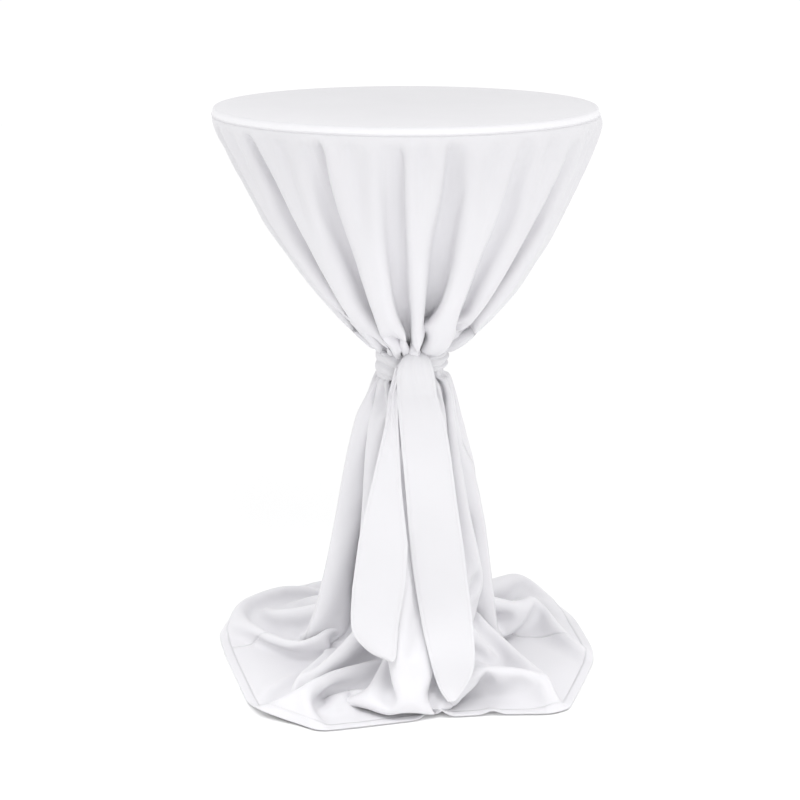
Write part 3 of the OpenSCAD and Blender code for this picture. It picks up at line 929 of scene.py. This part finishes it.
def turned_hem():
    """The hem: the cloth turned up into a narrow band around the edge, with a row of stitches on it."""
    hem_rows = 3
    face = skirt[-1 - hem_rows:]
    n = skirt_normal[-1 - hem_rows:].copy()
    n[-1] = n[-2]
    proud, under_cloth, fold_out, off_floor = 0.0003, 0.0009, 0.0012, 0.0008
    fold = face[-1] + fold_out * unit(face[-1] - face[-2])
    loop = np.concatenate([face + proud * n, fold[None], face[::-1] - under_cloth * n[::-1]])
    loop[..., 2] = np.maximum(loop[..., 2], off_floor)
    uv = grid_uv(np.arange(FINE_COLUMNS)[None] * FINE_GAP, -travelled(loop[:, 0])[:, None])
    band = grid_mesh("turned_hem", loop, uv, closed_columns=True, closed_rows=True)
    settle(band, cloth_white, "cloth_white", "skirt_hem")
    line = (face[1] * 0.6 + face[0] * 0.4) + proud * n[0]
    closed = np.concatenate([line, line[:1]])
    sewn = stitches("hem_stitches", closed, np.concatenate([n[0], n[0][:1]]), 0.0042)
    settle(sewn, thread_white, "cloth_white")


# ---------- top panel ----------

def top_panel():
    """The round panel: flat on the board, softly rounded over its edge and puckered a little at the seam."""
    columns = 480
    edge = 0.0062
    turn = np.linspace(0, math.pi / 2, 9)[1:]
    radii = np.concatenate([np.linspace(0.003, PANEL_R - edge, 60), PANEL_R - edge + edge * np.sin(turn),
                            PANEL_R + np.array([0.0003, 0.0008, 0.0013, 0.0016, 0.0008])])
    heights = np.concatenate([np.full(60, TOP_Z), TOP_Z - edge + edge * np.cos(turn),
                              np.linspace(TOP_Z - edge, SEAM_Z + 0.0012, 5)[1:], [SEAM_Z + 0.0002]])
    angle = np.arange(columns) / columns * TAU
    x, y = radii[:, None] * np.sin(angle), -radii[:, None] * np.cos(angle)
    flat = smoothstep(PANEL_R, 0.2, radii)[:, None]
    near_seam = smoothstep(TOP_Z - 0.004, SEAM_Z, heights)[:, None]
    pucker = 0.00035 * np.sin(angle * 96 + 1.5 * np.sin(angle * 7)) * near_seam
    z = heights[:, None] - 0.0003 + 0.00025 * flat * wave_noise(x, y, 11, scale=26)
    z = z + 0.0004 * near_seam * wave_noise(x, y, 12, scale=40)
    x, y = x * (1 + pucker / PANEL_R), y * (1 + pucker / PANEL_R)
    points = np.stack([x, y, z], -1)
    cut = radii[0] + travelled(np.stack([radii, heights], 1))
    uv = np.stack([cut[:, None] * np.sin(angle), -cut[:, None] * np.cos(angle)], -1)
    piece = grid_mesh("round_top_panel", points, uv, closed_columns=True)
    close_ring(piece.data, list(range(columns)))
    thicken(piece, 0.0007)
    settle(piece, top_white, "cloth_white", "cloth_top_panel")


# ---------- sash ----------

def band_mesh(name, centre, outward, half_width, relief, samples=44):
    """A flat band of two layers with round edges, from its line, as a closed mesh. Its width lies along X.

    relief(q, s) is how far its face stands out, at share q across and length s along."""
    s = travelled(centre)
    edge = np.sin(np.linspace(-math.pi / 2, math.pi / 2, samples))
    q = np.concatenate([edge, edge[::-1][1:-1]])
    face = np.concatenate([np.ones(samples), -np.ones(samples - 2)])
    body = TAIL_THICK / 2 * (1 - np.abs(q) ** 10) ** 0.5
    from_stitch = (1 - np.abs(q)[None]) * half_width[:, None] - 0.006
    groove = 0.35 * TAIL_THICK * hill(from_stitch, 0.0008)
    stand = relief(q[None], s[:, None]) + face * (body[None] - groove)
    points = centre[:, None] + outward[:, None] * stand[..., None]
    points[..., 0] += q[None] * half_width[:, None]
    around = np.cumsum(np.append(0, np.abs(np.diff(q))))
    uv = grid_uv(around[None] * half_width[:, None], -s[:, None])
    made = grid_mesh(name, points, uv, closed_columns=True)
    for row in (0, len(centre) - 1):
        ring = list(range(row * len(q), (row + 1) * len(q)))
        close_ring(made.data, ring if row else ring[::-1])
    return made


class FrontSurface:
    """How far the skirt reaches in front, by x and by angle up from the floor around the x axis."""

    CELL = 0.005             # metres along x; along the angle a cell is a degree
    X = np.arange(-0.22, 0.26, CELL)
    ANGLE = np.arange(0.5, 90, 1.0)

    def __init__(self, points):
        p = points.reshape(-1, 3)
        p = p[(p[:, 1] < -0.01) & (p[:, 2] < WAIST_LOW)]
        column = np.round((p[:, 0] - self.X[0]) / self.CELL).astype(int)
        row = np.round(np.degrees(np.arctan2(p[:, 2], -p[:, 1])) - self.ANGLE[0]).astype(int)
        inside = (column >= 0) & (column < len(self.X)) & (row >= 0) & (row < len(self.ANGLE))
        reach = np.zeros((len(self.ANGLE), len(self.X)))
        np.maximum.at(reach, (row[inside], column[inside]), np.hypot(p[inside, 1], p[inside, 2]))
        self.reach = np.maximum(self.soften(self.spread_max(reach, 3), 4), self.spread_max(reach, 1))
        self.reach = self.soften(self.reach, 1)

    @staticmethod
    def spread_max(field, cells):
        """The largest value within some cells of each cell."""
        padded = np.pad(field, cells, mode="edge")
        rows, columns = field.shape
        window = range(2 * cells + 1)
        return np.max([padded[j:j + rows, i:i + columns] for j in window for i in window], axis=0)

    @staticmethod
    def soften(field, times):
        for _ in range(times):
            padded = np.pad(field, 1, mode="edge")
            field = (padded[:-2, 1:-1] + 2 * field + padded[2:, 1:-1]) / 4
            padded = np.pad(field, 1, mode="edge")
            field = (padded[1:-1, :-2] + 2 * field + padded[1:-1, 2:]) / 4
        return field

    def at(self, x, angle):
        """The reach at x and angle, between the cells."""
        i = np.clip((np.asarray(x) - self.X[0]) / self.CELL, 0, len(self.X) - 1.001)
        j = np.clip(np.degrees(angle) - self.ANGLE[0], 0, len(self.ANGLE) - 1.001)
        i, j = np.broadcast_arrays(i, j)
        i0, j0 = i.astype(int), j.astype(int)
        fi, fj = i - i0, j - j0
        f = self.reach
        return ((1 - fj) * ((1 - fi) * f[j0, i0] + fi * f[j0, i0 + 1])
                + fj * ((1 - fi) * f[j0 + 1, i0] + fi * f[j0 + 1, i0 + 1]))


# Tail outlines: (length down from the knot, left edge's x, right edge's x)
RIGHT_TAIL_EDGES = [
    (0.0, -0.016, 0.058), (0.03, -0.014, 0.067), (0.077, -0.010, 0.078), (0.13, -0.005, 0.086),
    (0.196, 0.001, 0.0945), (0.319, 0.012, 0.112), (0.439, 0.031, 0.126), (0.505, 0.046, 0.129),
    (0.535, 0.054, 0.123), (0.562, 0.0625, 0.111), (0.578, 0.0705, 0.100), (0.587, 0.078, 0.092)]
LEFT_TAIL_EDGES = [
    (0.0, -0.032, -0.014), (0.055, -0.038, -0.0132), (0.079, -0.043, -0.012), (0.172, -0.064, -0.0076),
    (0.265, -0.085, 0.0022), (0.288, -0.089, 0.0040), (0.348, -0.097, 0.0008), (0.370, -0.0995, -0.002),
    (0.428, -0.1015, -0.0123), (0.458, -0.092, -0.015), (0.489, -0.064, -0.0169), (0.503, -0.040, -0.0188),
    (0.508, -0.030, -0.0215)]
TAIL_THICK = 0.0022
TAIL_CLEAR = 0.0035                  # from the skirt to a tail's line
TAIL_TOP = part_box(LEFT_TAIL)[1].z
SASH_WIDTH = 0.10                    # the sash is cut as a plain band
# They are less than the band's, since these meshes hold too little cloth The tongue that comes over the
# wrap and down to the right tail: (y, z, left edge's x, right edge's x)
TONGUE = [
    (-0.062, 0.606, 0.010, 0.028), (-0.066, 0.628, 0.009, 0.031), (-0.072, 0.643, 0.006, 0.035),
    (-0.081, 0.6475, 0.001, 0.040), (-0.090, 0.641, -0.008, 0.046), (-0.097, 0.628, -0.0145, 0.051),
    (-0.100, 0.612, -0.017, 0.054), (-0.101, 0.596, -0.0165, 0.057)]


def tail_line(surface, edges, front, step=0.005):
    """The line of a tail from the knot down over the skirt, and its half widths.

    It hangs straight down at the distance in front until the skirt pushes it out."""
    table = smooth_line(edges, 8)[0]

    def middle_and_half(s):
        left, right = np.interp(s, table[:, 0], table[:, 1]), np.interp(s, table[:, 0], table[:, 2])
        return (left + right) / 2, (right - left) / 2
    angle = np.radians(np.arange(88, 1.5, -0.25))
    s = np.linspace(0, table[-1, 0], len(angle))
    for _ in range(3):
        x, half = middle_and_half(s)
        spots = x[:, None] + np.linspace(-0.8, 0.8, 9) * half[:, None]
        reach = surface.at(spots, angle[:, None]).max(1) + TAIL_CLEAR
        reach = np.maximum(reach, front / np.cos(angle))
        line = np.stack([x, -reach * np.cos(angle), reach * np.sin(angle)], 1)
        s = travelled(line)
        s = s - np.interp(-TAIL_TOP, -line[:, 2], s)
    rows = np.append(np.arange(0, table[-1, 0], step), table[-1, 0])
    centre = softened(at_length(line, s, rows), 40)
    centre[:, 0], half = middle_and_half(rows)
    return centre, half


def outward_of(centre):
    """Directions that stand out from a line that runs down the front."""
    ahead = np.gradient(centre, axis=0)
    ahead[:, 0] = 0
    return np.cross(unit(ahead), np.array([1.0, 0, 0]))


def tail_piece(name, line, half_width, relief):
    """A tail as cloth: a band along its line, in the sash's material, in place of its CAD node."""
    tail = band_mesh(name + "_cloth", line, outward_of(line), half_width, relief)
    give(tail, sash_white, "sash_white")
    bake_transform(tail)
    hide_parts(name)


def right_tail(surface):
    """The right tail, one strip with the tongue over the knot."""
    centre, half = tail_line(surface, RIGHT_TAIL_EDGES, front=0.098)
    tongue = smooth_line(TONGUE, 8)[0]
    over = np.stack([tongue[:, 2:].mean(1), tongue[:, 0], tongue[:, 1]], 1)
    line = np.concatenate([over, centre])
    halves = np.concatenate([(tongue[:, 3] - tongue[:, 2]) / 2, half])
    s = travelled(line)
    even = np.arange(0, s[-1] + 0.004, 0.0045)
    line, halves = softened(at_length(line, s, even), 4), softened(np.interp(even, s, halves), 4)

    def relief(q, s):
        over_knot = np.interp(s, even, np.interp(even, [0, 0.06, 0.12, 0.2], [1, 1, 0.6, 0]))
        bow = 0.004 * (1 - q * q) * (0.4 + over_knot)
        folds = 0.0011 * wave_noise(q * 2.2, s * 14, 5) * (0.5 + 0.7 * over_knot)
        pleats = 0.0016 * over_knot * np.cos(q * 9 + 1.2 * np.sin(s * 30)) * (1 - np.abs(q))
        curl = 0.003 * hill(s - 0.62, 0.06) * q * q
        return bow + folds + pleats + curl
    tail_piece(RIGHT_TAIL, line, halves, relief)


def left_tail(surface):
    """The left tail, which comes out from behind the knot."""
    centre, half = tail_line(surface, LEFT_TAIL_EDGES, front=0.084)
    behind = np.arange(-0.05, 0, 0.005)
    lead = centre[0] - behind[:, None] * np.array([0.25, 0.10, 1.0])
    line = np.concatenate([lead, centre])
    halves = np.concatenate([np.full(len(lead), half[0]), half])

    def relief(q, s):
        bow = 0.003 * (1 - q * q)
        folds = 0.0012 * wave_noise(q * 2.0, s * 13, 8)
        pinch = 0.0022 * (1 - smoothstep(0.03, 0.22, s)) * np.cos(q * 7 + 4 * s)
        return bow + folds + pinch
    tail_piece(LEFT_TAIL, line, halves, relief)


def sash_band():
    """The wrap around the waist: a band crumpled into slanting folds that run towards the knot."""
    around, across = 260, 34
    angle = (np.arange(around) / around - 0.5) * TAU
    t = np.linspace(0, 1, across)
    low = (wrap_low.z + 0.001 + 0.018 * between(0.1, 0.7, 1.4, 2.4, angle)
           + 0.004 * between(-0.9, -0.3, 0.1, 0.5, angle))
    high = wrap_high.z - 0.001 - 0.004 * between(0.3, 1.0, 1.4, 2.4, angle) + 0.0015 * np.sin(3 * angle + 1)
    z = low[None] + (high - low)[None] * t[:, None]
    near_knot = hill(angle, 0.75)[None]
    slant = t[:, None] + 0.10 * np.sin(angle * 1.5 + 0.7)[None] + 0.05 * np.sin(angle * 4 + 2)[None]
    folds = 0.0046 * np.abs(np.sin(math.pi * 2.4 * slant + 0.5 * np.sin(2 * angle + 0.5)[None])) ** 0.7
    folds = folds + 0.0014 * np.sin(TAU * 2.3 * slant + 3.0 * angle[None]) * (0.4 + near_knot)
    fine = 0.0009 * wave_noise(angle[None] * 8, t[:, None] * 6, 21)
    roll = 0.0045 * (1 - (1 - np.abs(2 * t - 1) ** 4) ** 0.5)[:, None]
    outer = points_around(WRAP_R - 0.0042 + folds + fine - roll, angle, z, WAIST_X)
    inner = points_around(WRAP_R - 0.0062, angle, z + 0.002 * (0.5 - t[:, None]), WAIST_X)
    points = np.concatenate([outer, inner[::-1]])
    uv = grid_uv(angle[None] * WRAP_R, travelled(points[:, 0])[:, None])
    band = grid_mesh("sash_band", points[::-1], uv[::-1], closed_columns=True, closed_rows=True)
    settle(band, sash_white, "sash_white", "sash_wrap")


def sash_loop():
    """The knot: a gathered loop of the band around the wrap, under the tongue."""
    around, across = 96, 60
    turn = np.arange(around) / around * TAU
    back, front = WRAP_R - 0.010, WRAP_R + 0.016
    low, high = knot_low.z + 0.001, knot_high.z - 0.014

    def squared(wave):
        """A sine with fuller tops, which makes a rounded box of a circle."""
        return np.sign(wave) * np.abs(wave) ** 0.75
    y = -((back + front) / 2 + (front - back) / 2 * squared(np.cos(turn)))
    z = (low + high) / 2 + (high - low) / 2 * squared(np.sin(turn))
    q = np.linspace(-1, 1, across)
    ridges = 0.0026 * np.cos(q * 4 * math.pi + 0.5 * np.sin(3 * turn)[:, None]) * (1 - 0.3 * np.abs(q))
    centre = np.stack([np.full(around, 0.016), y, z], 1)
    out = unit(np.stack([0 * y, y + (back + front) / 2, z - (low + high) / 2], 1))
    half = 0.027 + 0.004 * np.cos(turn)[:, None] + 0.002 * np.sin(2 * turn + 1)[:, None]
    stand = ridges - 0.006 * np.abs(q) ** 6
    points = centre[:, None] + out[:, None] * stand[..., None]
    points[..., 0] += q[None] * half
    uv = grid_uv(q[None] * SASH_WIDTH / 2, travelled(centre)[:, None])
    loop = thicken(grid_mesh("sash_knot_loop", points, uv, closed_rows=True), 0.0016)
    settle(loop, sash_white, "sash_white", "sash_knot")


# ---------- floor, light and camera ----------

def stage():
    """A white floor, an even white surround, and plain colours in the picture."""
    material, tree, shader = new_material("studio_floor", (0.98, 0.98, 0.98), 0.75)
    place = node(tree, "ShaderNodeTexCoord").outputs["Object"]
    tree.links.new(spread(tree, noise(tree, place, 3.0), 0.7, 0.85), shader.inputs["Roughness"])
    half = 9.0
    corners = [(-half, -half, 0), (half, -half, 0), (half, half, 0), (-half, half, 0)]
    floor = mesh_object("studio_floor", corners, [(0, 1, 2, 3)])
    floor.data.shade_flat()
    floor.data.materials.append(material)
    world = bpy.data.worlds.new("studio")
    world.use_nodes = True
    background = world.node_tree.nodes["Background"]
    background.inputs["Color"].default_value = (1, 1, 1, 1)
    background.inputs["Strength"].default_value = 1.04
    bpy.context.scene.world = world
    bpy.context.scene.view_settings.view_transform = "Standard"


def soft_light(name, place, aim, size, power, spread):
    """A round area light that aims at a point. Its spread is in degrees."""
    light = bpy.data.lights.new(name, "AREA")
    light.spread = math.radians(spread)
    light.shape = "DISK"
    light.size = size
    light.energy = power
    obj = link(bpy.data.objects.new(name, light))
    obj.location = place
    obj.rotation_euler = (Vector(aim) - Vector(place)).to_track_quat("-Z", "Y").to_euler()


def camera():
    """The camera stands in front, above the table's top, and looks down at it."""
    tilt_down = math.radians(17.105)
    eye = bpy.data.cameras.new("camera")
    eye.lens, eye.sensor_width = 67.94, 36.0
    obj = link(bpy.data.objects.new("camera", eye))
    obj.location = (-0.0104, -2.8, 1.396)
    obj.rotation_euler = (math.pi / 2 - tilt_down, 0, 0)
    bpy.context.scene.camera = obj


# Lights: (name, place, aim, size, power, spread in degrees)
LIGHTS = [
    ("key", (1.3, -3.4, 1.5), (0, 0, 0.8), 1.2, 12, 180),
    ("knot_fill", (0.1, -2.6, 0.5), (0.01, 0, 0.74), 0.5, 0.12, 16),
    ("left_fill", (-1.5, -0.8, 3.0), (-0.28, -0.1, 0), 0.6, 0.44, 24),
    ("right_fill", (1.5, -0.8, 3.0), (0.28, -0.1, 0), 0.6, 0.36, 24),
    ("front_fill", (-0.1, -1.3, 3.2), (-0.03, -0.40, 0), 0.6, 0.32, 24)]

camera()
stage()
for light_values in LIGHTS:
    soft_light(*light_values)
dress_frame()
skirt_pieces()
turned_hem()
top_panel()
front_of_skirt = FrontSurface(skirt)
right_tail(front_of_skirt)
left_tail(front_of_skirt)
sash_band()
sash_loop()
